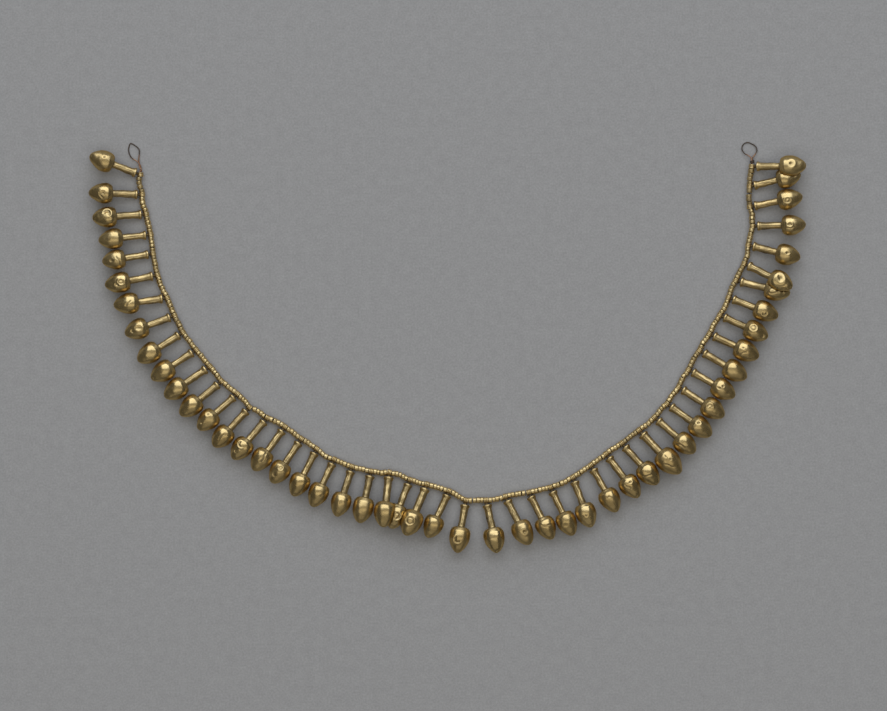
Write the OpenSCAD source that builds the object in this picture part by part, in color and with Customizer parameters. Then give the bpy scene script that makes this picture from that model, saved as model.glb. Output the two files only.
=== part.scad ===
// Gold necklace: fifty hollow bud pendants and small ring beads on one wire,
// with a twisted wire loop at each end. It lies open in a wide U on a surface.
// Millimetres. X runs across the U, Y to its open side, Z up from the surface.

/* [Pendant] */
// Diameter of a bulb at its widest
bulb_d = 8.6; // [8.2:0.1:8.6]
// Distance from the eye to the bulb's shoulder, before a pendant's own difference
bulb_start = 12.2; // [11.8:0.1:12.2]
// Distance from the eye to the widest place of the bulb
bulb_widest = 14.6; // [14.6:0.1:15]
// Radius of the bulb's round shoulder
shoulder_r = 2.3; // [2.1:0.1:2.3]
// Radius of the long curve from the widest place to the tip
flank_r = 9; // [8.5:0.1:9.5]
// Radius of the blunt tip
tip_r = 1.2; // [0.9:0.1:1.4]
// Thickness of the gold sheet
wall = 0.3; // [0.25:0.05:0.35]
// Diameter of the tubular stem at the collar
stem_d = 3.2; // [3:0.1:3.4]
// Diameter of the stem where it meets the bulb
stem_end_d = 3; // [2.8:0.1:3]
// Diameter of the collar at the top of the stem
collar_d = 3.9; // [3.5:0.1:3.9]
// Length of the collar's straight band
collar_w = 0.8; // [0.6:0.1:1]

/* [Suspension eye] */
// Outer diameter of the ribbed eye
eye_d = 2.4; // [2.2:0.1:2.4]
// Width of the eye along the string
eye_w = 1.8; // [1.6:0.1:1.8]
// Diameter of the hole through the eye
eye_bore_d = 1.2; // [1.2:0.05:1.3]
// Ribs round the eye
eye_ribs = 3; // [2:1:3]

/* [String] */
// Diameter of the stringing wire
wire_d = 0.45; // [0.4:0.05:0.45]
// Diameter of a ring bead
bead_d = 1.9; // [1.7:0.1:1.9]
// Diameter of the hole drilled through a bead
bead_bore_d = 0.9; // [0.8:0.05:0.95]
// Ring beads between two pendants
beads_per_gap = 4; // [3:1:4]
// Clear space beside a bead
bead_gap = 0.14; // [0.12:0.01:0.18]
// Height of the string above the surface
string_z = 1.65; // [1.65:0.05:1.8]

/* [End loops] */
// Turns of the twisted shank on the left
left_twist = 1.5; // [1:0.5:2]
// Turns of the twisted shank on the right
right_twist = 0.5; // [0.5:0.5:1]

/* [Hidden] */
$fn = 48;
gold = "#c8a14c";
pale_gold = "#d8b866";
copper = "#7a5238";

// Columns of the pendant table
EYE_X = 0;
EYE_Y = 1;
HANG = 2;
SIZE = 3;
STEM = 4;
LIFT = 5;

// One row for each pendant from the left end of the string to the right.
// Eye x, eye y, direction it hangs in degrees from +X, relative size,
// length its stem has beyond the common one, and extra lift in degrees
// where it leans on the pendant beside it.
PENDANTS = [
    [-123.0, 69.4, 159.5, 0.99, -0.2, 0],
    [-122.3, 61.4, 178, 0.98, 0, 0],
    [-120.7, 53.6, 184.5, 0.99, 0, 0],
    [-118.9, 45.4, 186.5, 0.96, -0.2, 0],
    [-118.0, 37.8, 189.5, 0.94, 0, 0],
    [-116.2, 29.2, 191.5, 0.98, -0.4, 0],
    [-112.3, 20.0, 188, 0.99, -0.3, 0],
    [-109.4, 13.0, 201, 0.97, -0.1, 0],
    [-106.0, 6.2, 212.5, 0.98, -0.2, 0],
    [-100.7, -0.8, 213.5, 0.98, -0.4, 0],
    [-95.2, -7.4, 214.5, 1, 0, 0],
    [-90.5, -13.4, 219.5, 0.98, -0.3, 0],
    [-84.2, -18.4, 222, 0.97, 0, 0],
    [-79.3, -23.8, 227.5, 0.98, 0, 0],
    [-72.2, -28.0, 230, 0.99, -0.1, 0],
    [-65.1, -31.6, 234, 0.99, 0, 0],
    [-58.5, -36.4, 236, 0.98, 0, 0],
    [-52.4, -40.4, 243.5, 0.97, 0, 0],
    [-45.4, -44.6, 245, 0.96, -0.4, 0],
    [-38.2, -47.6, 252.5, 0.96, -0.4, 0],
    [-30.6, -49.4, 257.5, 0.98, -0.9, 0],
    [-23.3, -49.8, 263.5, 1.03, -0.1, 4],
    [-15.0, -52.8, 248.5, 0.96, -0.5, 0],
    [-8.2, -54.6, 247, 1.04, -0.4, 4],
    [0.7, -57.3, 244.5, 0.95, 0, 0],
    [7.4, -61.0, 260, 0.98, -0.8, 0],
    [15.4, -61.0, 282.5, 0.99, -0.4, 0],
    [23.1, -59.5, 297, 0.99, -0.5, 0],
    [32.5, -57.9, 297, 0.96, 0, 0],
    [41.2, -55.9, 295.5, 0.97, -0.3, 0],
    [50.2, -51.8, 290, 0.98, -0.3, 0],
    [57.4, -47.0, 299.5, 0.98, -0.3, 0],
    [63.5, -42.5, 307, 0.99, 0, 0],
    [69.8, -38.2, 311.5, 1, -0.3, 0],
    [76.6, -33.0, 314, 1.1, -0.8, 0],
    [82.9, -27.8, 319, 0.99, 0, 0],
    [87.9, -22.4, 324.5, 1, 0, 0],
    [92.6, -15.7, 327, 0.99, -0.1, 0],
    [96.6, -8.7, 329.5, 0.98, -0.4, 0],
    [101.0, -1.0, 329, 1, -0.2, 0],
    [104.9, 5.6, 334.5, 1, -0.5, 0],
    [109.1, 13.1, 335, 0.97, -0.5, 0],
    [112.6, 20.2, 338.5, 0.97, -0.5, 0],
    [115.5, 27.0, 346, 1.02, -0.2, 0],
    [118.9, 33.8, 332.5, 1.01, 0, 8],
    [120.5, 41.2, 345.5, 0.98, -0.2, 0],
    [122.2, 48.8, 1.5, 0.98, -0.1, 0],
    [121.1, 56.5, 11.5, 0.98, -0.3, 0],
    [121.0, 64.6, 13.5, 0.96, -0.3, 0],
    [121.9, 72.7, 0, 1.01, -0.6, 5]
];

// A pendant that lies crushed under the one named beside it, counted from 1
LIES_UNDER = [[23, 22], [23, 24], [44, 45], [49, 50]];

// Middle of the twisted shanks, from near the end eye to where the loop parts
left_shank = [[-122.8, 71.6, 1.4], [-124.0, 74.9, 0.9]];
right_shank = [[121.9, 74.6, 1.4], [121.9, 76.3, 1.1]];

// Course of the open loops, from the right branch round to the left branch
left_loop = [
    [-123.6, 76.8, 0.7],
    [-123.5, 79.4, 0.4],
    [-124.9, 80.9, 0.3],
    [-126.9, 82.0, 0.3],
    [-127.6, 80.8, 0.3],
    [-127.8, 79.2, 0.4],
    [-127.4, 77.6, 0.5],
    [-126.5, 76.1, 0.6],
    [-125.2, 75.3, 0.8]
];
right_loop = [
    [123.1, 77.4, 0.9],
    [124.0, 79.0, 0.7],
    [123.5, 80.8, 0.5],
    [121.8, 81.9, 0.3],
    [120.2, 82.4, 0.3],
    [118.9, 81.9, 0.3],
    [118.1, 80.7, 0.4],
    [118.1, 79.3, 0.6],
    [119.1, 77.9, 0.8],
    [120.6, 77.1, 1]
];

last = len(PENDANTS) - 1;
middle_gap = floor(last / 2);
up = [0, 0, 1];

bulb_r = bulb_d / 2;
flank_centre = [bulb_r - flank_r, bulb_widest];
flank_drop = flank_r - bulb_r;
tip_reach = sqrt(pow(flank_r - tip_r, 2) - pow(flank_drop, 2));
tip_centre = [0, bulb_widest + tip_reach];
tip_angle = atan2(flank_drop, tip_reach);

neck_r = 0.6;
neck_start = 0.8;
collar_start = 2;
collar_bevel = 0.25;
stem_start = collar_start + collar_w + 0.5;
cavity_start = collar_start + wall;

rib_depth = 0.16;
rib_pitch = eye_w / eye_ribs;
bead_bevel = 0.25;

// Space left between a crushed pendant and the one on top of it
press_gap = 0.15;
// Height of the space above a pendant that one lying under it is kept out of
press_height = 8;
// Length of stem that presses on a neighbour together with the bulb
press_stem = 1.2;
// Extra width of that space, so that its sides stay clear of the bulb's
press_ledge = 0.4;

wire_sides = 8;
loop_steps = 3;
twist_steps = 14;
// Distance from the middle of the shank to the middle of each strand
twist_r = 0.28;
// Space between the end of the string's wire and the end of a loop's wire
wire_joint_gap = 0.18;
// Distance from the end eye to the start of the twisted shank
shank_lead = 0.4;

function two_digits(n) = str(n < 10 ? "0" : "", n);
function pendant_name(i) = str("pendant_", two_digits(i + 1));

// Shoulder of a pendant, with its own length of stem
function shoulder(i) = bulb_start + PENDANTS[i][STEM];
function shoulder_centre(i) = [bulb_r - shoulder_r, shoulder(i) + shoulder_r];

// Outlines, as points of radius and distance along the axis

function arc(centre, r, from, to, steps) = [
    for (i = [0 : steps])
        let (a = from + (to - from) * i / steps)
            centre + r * [sin(a), cos(a)]
];

// Bulb from its shoulder to its tip, grown all round by an amount
function bulb_outline(i, grow) = concat(
    arc(shoulder_centre(i), shoulder_r + grow, 172, 90, 4),
    arc(flank_centre, flank_r + grow, 90, tip_angle, 6),
    arc(tip_centre, tip_r + grow, tip_angle * 2 / 3, 0, 2)
);

function pendant_outline(i) = concat(
    [
        [0, neck_start],
        [neck_r, neck_start],
        [neck_r, collar_start],
        [collar_d / 2 - collar_bevel, collar_start],
        [collar_d / 2, collar_start + collar_bevel],
        [collar_d / 2, collar_start + collar_w],
        [stem_d / 2, stem_start],
        [stem_end_d / 2, shoulder(i)]
    ],
    bulb_outline(i, 0)
);

function cavity_outline(i) = concat(
    [
        [0, cavity_start],
        [stem_d / 2 - wall, cavity_start],
        [stem_end_d / 2 - wall, shoulder(i) + wall]
    ],
    bulb_outline(i, -wall)
);

// Bulb and the end of its stem, grown all round by an amount
function press_outline(i, grow) =
    let (start = shoulder(i) - press_stem - grow)
    concat([[0, start], [stem_d / 2 + grow, start]], bulb_outline(i, grow));

function eye_outline() = concat(
    [[eye_bore_d / 2, -eye_w / 2]],
    [
        for (k = [0 : eye_ribs - 1])
            for (p = [[-rib_depth, 0.05], [0, 0.25], [0, 0.75], [-rib_depth, 0.95]])
                [eye_d / 2 + p.x, -eye_w / 2 + (k + p.y) * rib_pitch]
    ],
    [[eye_bore_d / 2, eye_w / 2]]
);

function bead_outline(length) = [
    [bead_bore_d / 2, -length / 2],
    [bead_d / 2 - bead_bevel, -length / 2],
    [bead_d / 2, -length / 2 + bead_bevel],
    [bead_d / 2, length / 2 - bead_bevel],
    [bead_d / 2 - bead_bevel, length / 2],
    [bead_bore_d / 2, length / 2]
];

// Places along the string

function eye(i) = [PENDANTS[i][EYE_X], PENDANTS[i][EYE_Y], string_z];
function heading(a, b) = atan2(b.y - a.y, b.x - a.x);
function gap_heading(i) = heading(eye(i), eye(i + 1));
function heading_before(i) = gap_heading(max(i - 1, 0));
function heading_after(i) = gap_heading(min(i, last - 1));
function eye_heading(i) = (heading_before(i) + heading_after(i)) / 2;
function lean(i) = abs(heading_after(i) - heading_before(i)) / 2;

// Distance from the middle of an eye to where a leaning bead may begin
function eye_clearance(i) =
    (eye_w / 2 + bead_gap / 2 + bead_d / 2 * sin(lean(i))) / cos(lean(i));

// Tilt at which a pendant rests on its shoulder, with its eye at the
// height of the string
function rest_tilt(i) =
    let (
        centre = shoulder_centre(i),
        rise = shoulder_r - string_z / PENDANTS[i][SIZE]
    )
    atan2(centre.x, centre.y) + asin(rise / norm(centre));
function tilt(i) = rest_tilt(i) + PENDANTS[i][LIFT];

// Wire paths

function unit(v) = v / norm(v);
function tangent(path, i) =
    unit(path[min(i + 1, len(path) - 1)] - path[max(i - 1, 0)]);

function spline_point(p, i, t) =
    let (
        a = p[max(i - 1, 0)],
        b = p[i],
        c = p[i + 1],
        d = p[min(i + 2, len(p) - 1)]
    )
    b + 0.5 * t * (c - a + t * (2 * a - 5 * b + 4 * c - d + t * (3 * b - a - 3 * c + d)));

function spline(p, steps) = concat(
    [for (i = [0 : len(p) - 2]) for (k = [0 : steps - 1]) spline_point(p, i, k / steps)],
    [p[len(p) - 1]]
);

// One strand of a twisted pair that ends beside the middle line at a given angle
function strand(path, turns, end_angle) = [
    for (i = [0 : len(path) - 1])
        let (
            along = tangent(path, i),
            side = unit(cross(along, up)),
            a = end_angle + 360 * turns * (i / (len(path) - 1) - 1)
        )
            path[i] + twist_r * (cos(a) * side + sin(a) * cross(side, along))
];

function reversed(list) = [for (i = [len(list) - 1 : -1 : 0]) list[i]];

// Wire of an end loop: out along the shank, round the loop and back
function loop_path(start, outward, shank, loop, turns) =
    let (
        shank_start = start + outward * (eye_w / 2 + shank_lead),
        middle = spline(concat([shank_start], shank), ceil(twist_steps / len(shank))),
        out_strand = strand(middle, turns, 0),
        back_strand = strand(middle, turns, 180)
    )
    concat(
        [start + outward * wire_joint_gap],
        out_strand,
        spline(loop, loop_steps),
        reversed(back_strand)
    );

// Round wire swept along a path
module wire(path) {
    rings = len(path);
    points = [
        for (i = [0 : rings - 1])
            let (along = tangent(path, i), side = unit(cross(along, up)))
                for (k = [0 : wire_sides - 1])
                    let (a = 360 * k / wire_sides)
                        path[i] + wire_d / 2 * (cos(a) * side + sin(a) * cross(side, along))
    ];
    walls = [
        for (i = [0 : rings - 2])
            for (k = [0 : wire_sides - 1])
                let (
                    a = i * wire_sides + k,
                    b = i * wire_sides + (k + 1) % wire_sides
                )
                    for (f = [[a, b, b + wire_sides], [a, b + wire_sides, a + wire_sides]]) f
    ];
    first_end = [for (k = [wire_sides - 1 : -1 : 0]) k];
    last_end = [for (k = [0 : wire_sides - 1]) (rings - 1) * wire_sides + k];
    polyhedron(points, concat(walls, [first_end, last_end]));
}

// Places its child, whose axis is +Z, along the axis of a pendant
module along_pendant(i) {
    translate(eye(i))
        rotate([0, 90 - tilt(i), PENDANTS[i][HANG]])
            children();
}

// Space taken by the bulb of a pendant that presses on its neighbour, and above it
module press(i, grow) {
    size = PENDANTS[i][SIZE];
    along_pendant(i)
        rotate_extrude()
            polygon(size * press_outline(i, grow / size));
    outline = size * press_outline(i, (grow + press_ledge) / size);
    left_side = [for (p = outline) [p.y * cos(tilt(i)), p.x]];
    right_side = [for (p = left_side) [p.x, -p.y]];
    translate(eye(i) + up * size * bulb_widest * sin(tilt(i)))
        rotate([0, 0, PENDANTS[i][HANG]])
            linear_extrude(press_height)
                polygon(concat(left_side, reversed(right_side)));
}

module presses_on(i, grow) {
    for (pair = LIES_UNDER)
        if (pair[0] == i + 1)
            press(pair[1] - 1, grow);
}

// One pendant: hollow bulb, stem, collar and ribbed eye, soldered into one piece
module pendant(i) {
    size = PENDANTS[i][SIZE];
    color(gold) {
        difference() {
            along_pendant(i)
                rotate_extrude()
                    polygon(size * pendant_outline(i));
            difference() {
                along_pendant(i)
                    rotate_extrude()
                        polygon(size * cavity_outline(i));
                presses_on(i, press_gap + wall);
            }
            presses_on(i, press_gap);
        }
        translate(eye(i))
            rotate([0, 90, eye_heading(i)])
                rotate_extrude()
                    polygon(eye_outline());
    }
}

// Ring beads of the gap that follows a pendant, drilled for the wire
module beads_in_gap(i) {
    start = eye_clearance(i);
    room = norm(eye(i + 1) - eye(i)) - start - eye_clearance(i + 1);
    pitch = room / beads_per_gap;
    translate(eye(i))
        rotate([0, 90, gap_heading(i)])
            for (k = [0 : beads_per_gap - 1])
                translate([0, 0, start + (k + 0.5) * pitch])
                    rotate_extrude()
                        polygon(bead_outline(pitch - bead_gap));
}

module beads(first_gap, last_gap) {
    color(pale_gold)
        for (i = [first_gap : last_gap])
            beads_in_gap(i);
}

// The wire that carries every bead and pendant
module stringing_wire() {
    color(copper)
        wire([for (i = [0 : last]) eye(i)]);
}

module end_loop_left() {
    outward = unit(eye(0) - eye(1));
    color(copper)
        wire(loop_path(eye(0), outward, left_shank, left_loop, left_twist));
}

module end_loop_right() {
    outward = unit(eye(last) - eye(last - 1));
    color(copper)
        wire(loop_path(eye(last), outward, right_shank, right_loop, right_twist));
}

for (i = [0 : last])
    pendant(i);
beads(0, middle_gap - 1);  // beads_left
beads(middle_gap, last - 1);  // beads_right
stringing_wire();
end_loop_left();
end_loop_right();
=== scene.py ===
"""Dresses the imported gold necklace: worn hollow buds, ring beads on a wire and wire loops.

Lengths in the tables are millimetres in the CAD frame. Places marked px are pixels of
the photograph, which looks straight down at 0.4 mm for each pixel.
"""

import math

import bpy
import numpy as np
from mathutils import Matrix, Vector


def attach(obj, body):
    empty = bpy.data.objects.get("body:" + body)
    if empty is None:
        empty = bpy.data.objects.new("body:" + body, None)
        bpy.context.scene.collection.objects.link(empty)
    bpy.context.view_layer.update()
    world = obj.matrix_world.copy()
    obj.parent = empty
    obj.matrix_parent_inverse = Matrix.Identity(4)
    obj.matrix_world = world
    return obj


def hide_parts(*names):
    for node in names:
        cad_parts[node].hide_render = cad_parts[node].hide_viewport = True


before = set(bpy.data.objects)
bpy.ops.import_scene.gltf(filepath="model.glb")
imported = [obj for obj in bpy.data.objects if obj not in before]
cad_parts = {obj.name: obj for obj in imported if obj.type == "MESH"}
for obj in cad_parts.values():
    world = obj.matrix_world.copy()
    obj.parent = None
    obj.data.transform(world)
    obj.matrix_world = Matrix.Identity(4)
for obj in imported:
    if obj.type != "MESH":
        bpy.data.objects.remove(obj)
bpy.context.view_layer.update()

MM = 0.001
TAU = 2 * math.pi
UP = np.array([0, 0, 1.0])

# The photograph: its size, its scale, and the place in it of the CAD frame's origin
PHOTO_SIZE = (887, 711)
PX_MM = 0.4
PX_CENTRE = (447.5, 348.0)

# One row for each pendant, as in the CAD source: eye x, eye y, direction it hangs in degrees,
# relative size, extra length of its stem and extra lift in degrees
EYE_X, EYE_Y, HEADING, SIZE, STEM, LIFT = range(6)
PENDANTS = (
    (-123.0, 69.4, 159.5, 0.99, -0.2, 0),
    (-122.3, 61.4, 178, 0.98, 0, 0),
    (-120.7, 53.6, 184.5, 0.99, 0, 0),
    (-118.9, 45.4, 186.5, 0.96, -0.2, 0),
    (-118.0, 37.8, 189.5, 0.94, 0, 0),
    (-116.2, 29.2, 191.5, 0.98, -0.4, 0),
    (-112.3, 20.0, 188, 0.99, -0.3, 0),
    (-109.4, 13.0, 201, 0.97, -0.1, 0),
    (-106.0, 6.2, 212.5, 0.98, -0.2, 0),
    (-100.7, -0.8, 213.5, 0.98, -0.4, 0),
    (-95.2, -7.4, 214.5, 1, 0, 0),
    (-90.5, -13.4, 219.5, 0.98, -0.3, 0),
    (-84.2, -18.4, 222, 0.97, 0, 0),
    (-79.3, -23.8, 227.5, 0.98, 0, 0),
    (-72.2, -28.0, 230, 0.99, -0.1, 0),
    (-65.1, -31.6, 234, 0.99, 0, 0),
    (-58.5, -36.4, 236, 0.98, 0, 0),
    (-52.4, -40.4, 243.5, 0.97, 0, 0),
    (-45.4, -44.6, 245, 0.96, -0.4, 0),
    (-38.2, -47.6, 252.5, 0.96, -0.4, 0),
    (-30.6, -49.4, 257.5, 0.98, -0.9, 0),
    (-23.3, -49.8, 263.5, 1.03, -0.1, 4),
    (-15.0, -52.8, 248.5, 0.96, -0.5, 0),
    (-8.2, -54.6, 247, 1.04, -0.4, 4),
    (0.7, -57.3, 244.5, 0.95, 0, 0),
    (7.4, -61.0, 260, 0.98, -0.8, 0),
    (15.4, -61.0, 282.5, 0.99, -0.4, 0),
    (23.1, -59.5, 297, 0.99, -0.5, 0),
    (32.5, -57.9, 297, 0.96, 0, 0),
    (41.2, -55.9, 295.5, 0.97, -0.3, 0),
    (50.2, -51.8, 290, 0.98, -0.3, 0),
    (57.4, -47.0, 299.5, 0.98, -0.3, 0),
    (63.5, -42.5, 307, 0.99, 0, 0),
    (69.8, -38.2, 311.5, 1, -0.3, 0),
    (76.6, -33.0, 314, 1.1, -0.8, 0),
    (82.9, -27.8, 319, 0.99, 0, 0),
    (87.9, -22.4, 324.5, 1, 0, 0),
    (92.6, -15.7, 327, 0.99, -0.1, 0),
    (96.6, -8.7, 329.5, 0.98, -0.4, 0),
    (101.0, -1.0, 329, 1, -0.2, 0),
    (104.9, 5.6, 334.5, 1, -0.5, 0),
    (109.1, 13.1, 335, 0.97, -0.5, 0),
    (112.6, 20.2, 338.5, 0.97, -0.5, 0),
    (115.5, 27.0, 346, 1.02, -0.2, 0),
    (118.9, 33.8, 332.5, 1.01, 0, 8),
    (120.5, 41.2, 345.5, 0.98, -0.2, 0),
    (122.2, 48.8, 1.5, 0.98, -0.1, 0),
    (121.1, 56.5, 11.5, 0.98, -0.3, 0),
    (121.0, 64.6, 13.5, 0.96, -0.3, 0),
    (121.9, 72.7, 0, 1.01, -0.6, 5),
)

# A pendant that lies crushed under the one named beside it, counted from 1
LIES_UNDER = ((23, 22), (23, 24), (44, 45), (49, 50))

# Sizes of the pendant and the string in mm, as in the CAD source
STRING_Z = 1.65
BULB_R = 4.3
BULB_START = 12.2
BULB_WIDEST = 14.6
SHOULDER_R = 2.3
STEM_R = 1.6
STEM_END_R = 1.5
COLLAR_R = 1.95
NECK_R = 0.6
EYE_R = 1.2
EYE_WIDTH = 1.8
EYE_BORE_R = 0.6
EYE_RIBS = 3
WIRE_R = 0.225
BEAD_BORE_R = 0.45

# Radius of a ring bead, fuller than in the solids, as the string reads in the photo
BEAD_R = 1.14

# Distance of the surface from the pendant that lies on top, length of stem that presses
# together with the bulb, and how far beside the bulb the wrinkles and the painted shade go
PRESS_GAP = 0.07
PRESS_STEM = 1.2
PRESS_REACH = 0.5

# No point lies lower than the first height. From the second one up heights are eased off, so
# that none reaches the third one, just below the top of the solids
FLOOR_CLEARANCE = 0.03
TOP_EASE = 10.3
TOP_LIMIT = 10.88

# Outline of a pendant's head, as distance from the eye and radius: neck, collar, top of the stem
HEAD = (
    (0.79, 0.05),
    (0.8, NECK_R),
    (1.3, 0.56),
    (1.8, 0.6),
    (1.98, 0.7),
    (2.02, 0.9),
    (2.03, 1.3),
    (2.05, 1.62),
    (2.1, 1.8),
    (2.2, 1.91),
    (2.36, COLLAR_R),
    (2.55, 1.94),
    (2.72, 1.92),
    (2.86, 1.84),
    (3.0, 1.74),
    (3.15, 1.66),
    (3.32, STEM_R),
)

# The stem narrows from its start to the bulb. Its rings go from the first one to a distance
# before the bulb. The bulb's outline is curved in steps from each of its points to the next
STEM_START = 3.3
STEM_FIRST_RING = 3.7
STEM_LAST_RING = 0.3
STEM_RINGS = 20
BULB_STEPS = 2

# Fillet where the stem enters the bulb, as distance from the start of the bulb and radius
STEM_FILLET = ((-0.14, 1.5), (-0.05, 1.53), (-0.01, 1.64), (0.005, 1.84), (0.015, 2.08))

# Worn outline of the bulb as the photo shows it, as distance and radius: the shoulder from
# the start of the bulb, and the flank from the widest place. It lies within 0.3 mm of the
# arcs of the solids, and outside them along the flank
SHOULDER = (
    (0.02, 2.32),
    (0.09, 2.74),
    (0.28, 3.18),
    (0.56, 3.48),
    (0.9, 3.74),
    (1.25, 3.94),
    (1.6, 4.09),
    (1.95, 4.2),
    (2.3, 4.26),
)
FLANK = (
    (0.4, 4.31),
    (1.0, 4.3),
    (1.6, 4.25),
    (2.2, 4.14),
    (2.8, 3.97),
    (3.4, 3.76),
    (4.0, 3.51),
    (4.6, 3.18),
    (5.2, 2.81),
    (5.8, 2.4),
    (6.3, 2.0),
    (6.7, 1.61),
    (7.0, 1.25),
    (7.22, 0.9),
    (7.36, 0.58),
    (7.42, 0.3),
    (7.45, 0.1),
)

# Dents, creases and rings seen on each pendant. Columns: pendant, form, x px, y px,
# radius or half length in mm, width in mm, direction in degrees, depth in mm
PIT, RING, CREASE, HOOK = "pit", "ring", "crease", "hook"
MARKS = (
    (1, PIT, 105.0, 157.0, 0.69, 0.5, 0, 0.29),
    (2, PIT, 103.0, 193.0, 1.15, 0.6, 20, 0.26),
    (2, CREASE, 101.5, 196.0, 1.38, 0.35, 120, 0.16),
    (3, HOOK, 107.0, 214.0, 1.9, 0.5, 60, 0.55),
    (3, PIT, 128.7, 214.0, 0.52, 0.4, 0, 0.18),
    (5, CREASE, 119.0, 260.0, 1.49, 0.35, 120, 0.21),
    (5, PIT, 112.0, 261.0, 0.92, 0.5, 0, 0.26),
    (6, RING, 121.5, 282.0, 1.2, 0.36, 0, 0.36),
    (6, PIT, 117.5, 285.0, 0.92, 0.5, 0, 0.33),
    (7, CREASE, 129.0, 303.0, 1.15, 0.32, 45, 0.18),
    (8, PIT, 139.0, 328.0, 1.26, 0.6, 0, 0.44),
    (8, HOOK, 133.5, 331.0, 1.15, 0.35, 180, 0.23),
    (13, PIT, 208.0, 414.0, 0.80, 0.5, 0, 0.23),
    (13, PIT, 201.5, 423.0, 0.57, 0.4, 0, 0.45),
    (14, CREASE, 222.0, 436.0, 1.38, 0.35, 40, 0.21),
    (15, HOOK, 242.0, 444.0, 1.72, 0.4, 200, 0.33),
    (15, RING, 236.0, 451.0, 0.92, 0.3, 0, 0.23),
    (16, CREASE, 264.0, 457.0, 2.07, 0.35, 235, 0.26),
    (17, HOOK, 275.0, 474.0, 1.26, 0.35, 200, 0.26),
    (17, RING, 281.0, 468.0, 0.92, 0.3, 0, 0.21),
    (19, PIT, 322.0, 496.0, 0.92, 0.5, 0, 0.13),
    (20, HOOK, 341.0, 503.0, 1.03, 0.35, 100, 0.21),
    (23, HOOK, 396.3, 515.8, 1.9, 0.45, 0, 0.50),
    (24, PIT, 409.0, 524.0, 0.57, 0.4, 0, 0.13),
    (24, RING, 409.8, 520.2, 2.1, 0.34, 0, 0.42),
    (26, HOOK, 457.5, 539.0, 1.9, 0.45, 220, 0.40),
    (28, PIT, 524.5, 531.0, 0.48, 0.35, 0, 0.59),
    (28, PIT, 512.0, 512.0, 0.69, 0.35, 60, 0.16),
    (28, PIT, 524.8, 531.5, 1.25, 0.5, 0, 0.34),
    (29, CREASE, 546.0, 525.0, 1.49, 0.3, 5, 0.18),
    (30, PIT, 565.0, 525.0, 1.15, 0.6, 0, 0.18),
    (31, HOOK, 586.0, 515.0, 0.80, 0.3, 270, 0.18),
    (32, PIT, 609.0, 496.5, 0.57, 0.4, 0, 0.26),
    (33, PIT, 630.0, 482.0, 0.69, 0.4, 30, 0.29),
    (33, CREASE, 628.0, 487.0, 1.15, 0.32, 150, 0.18),
    (34, CREASE, 647.0, 475.5, 1.38, 0.32, 10, 0.18),
    (35, PIT, 665.0, 456.3, 0.52, 0.35, 0, 0.31),
    (35, PIT, 670.0, 458.8, 0.52, 0.35, 0, 0.31),
    (35, CREASE, 669.0, 465.5, 1.61, 0.32, 345, 0.23),
    (36, CREASE, 680.0, 445.0, 1.72, 0.4, 330, 0.18),
    (37, PIT, 698.0, 423.0, 0.80, 0.45, 0, 0.34),
    (38, HOOK, 709.5, 407.0, 1.38, 0.4, 90, 0.39),
    (39, PIT, 718.5, 388.0, 0.63, 0.4, 0, 0.42),
    (39, PIT, 722.5, 386.0, 0.57, 0.4, 0, 0.36),
    (41, CREASE, 742.0, 353.0, 1.38, 0.32, 20, 0.21),
    (41, PIT, 742.5, 348.0, 0.52, 0.4, 0, 0.21),
    (42, RING, 753.0, 328.0, 1.44, 0.35, 0, 0.34),
    (42, HOOK, 762.0, 336.0, 1.03, 0.35, 300, 0.23),
    (43, HOOK, 764.0, 313.0, 1.38, 0.35, 270, 0.29),
    (44, CREASE, 769.0, 289.5, 1.72, 0.4, 50, 0.33),
    (44, CREASE, 772.0, 293.0, 1.15, 0.3, 0, 0.20),
    (45, CREASE, 780.0, 290.0, 1.49, 0.35, 10, 0.21),
    (45, PIT, 779.5, 278.4, 1.75, 0.5, 100, 0.60),
    (46, PIT, 787.0, 253.0, 0.80, 0.5, 0, 0.31),
    (47, PIT, 789.0, 225.0, 0.92, 0.5, 20, 0.29),
    (47, CREASE, 788.0, 228.0, 1.03, 0.3, 0, 0.16),
    (47, PIT, 789.2, 224.2, 0.9, 0.5, 90, 0.26),
    (48, RING, 787.0, 200.6, 1.3, 0.35, 0, 0.34),
    (49, CREASE, 767.0, 183.5, 1.15, 0.25, 10, 0.13),
    (50, PIT, 790.3, 164.0, 1.4, 0.5, 70, 0.42),
    (50, PIT, 789.6, 163.4, 0.5, 0.5, 70, 0.35),
)

# Where the string bows sideways between two eyes, from the photo. Columns: number of the
# pendant before it, offset in mm to the left of the string's run, place of the widest offset
BOWS = (
    (1, -0.9, 0.35),
    (2, -0.65, 0.35),
    (6, -0.35, 0.5),
    (13, 0.25, 0.5),
    (14, 0.45, 0.35),
    (15, 0.25, 0.5),
    (17, 0.12, 0.3),
    (18, -0.8, 0.55),
    (21, -0.4, 0.6),
    (22, 0.45, 0.5),
    (23, -0.35, 0.75),
    (27, -0.45, 0.5),
    (28, 0.25, 0.5),
    (30, -0.35, 0.5),
    (33, 0.3, 0.3),
    (35, -0.3, 0.6),
    (36, 0.25, 0.65),
    (37, 0.3, 0.5),
    (38, 0.35, 0.5),
    (39, 0.5, 0.5),
    (40, 0.25, 0.4),
    (41, 0.25, 0.5),
    (42, -0.35, 0.4),
    (43, 0.35, 0.5),
    (44, 0.2, 0.5),
    (45, -0.5, 0.5),
    (47, -0.55, 0.65),
    (48, 0.3, 0.4),
    (49, 0.25, 0.5),
)

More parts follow.
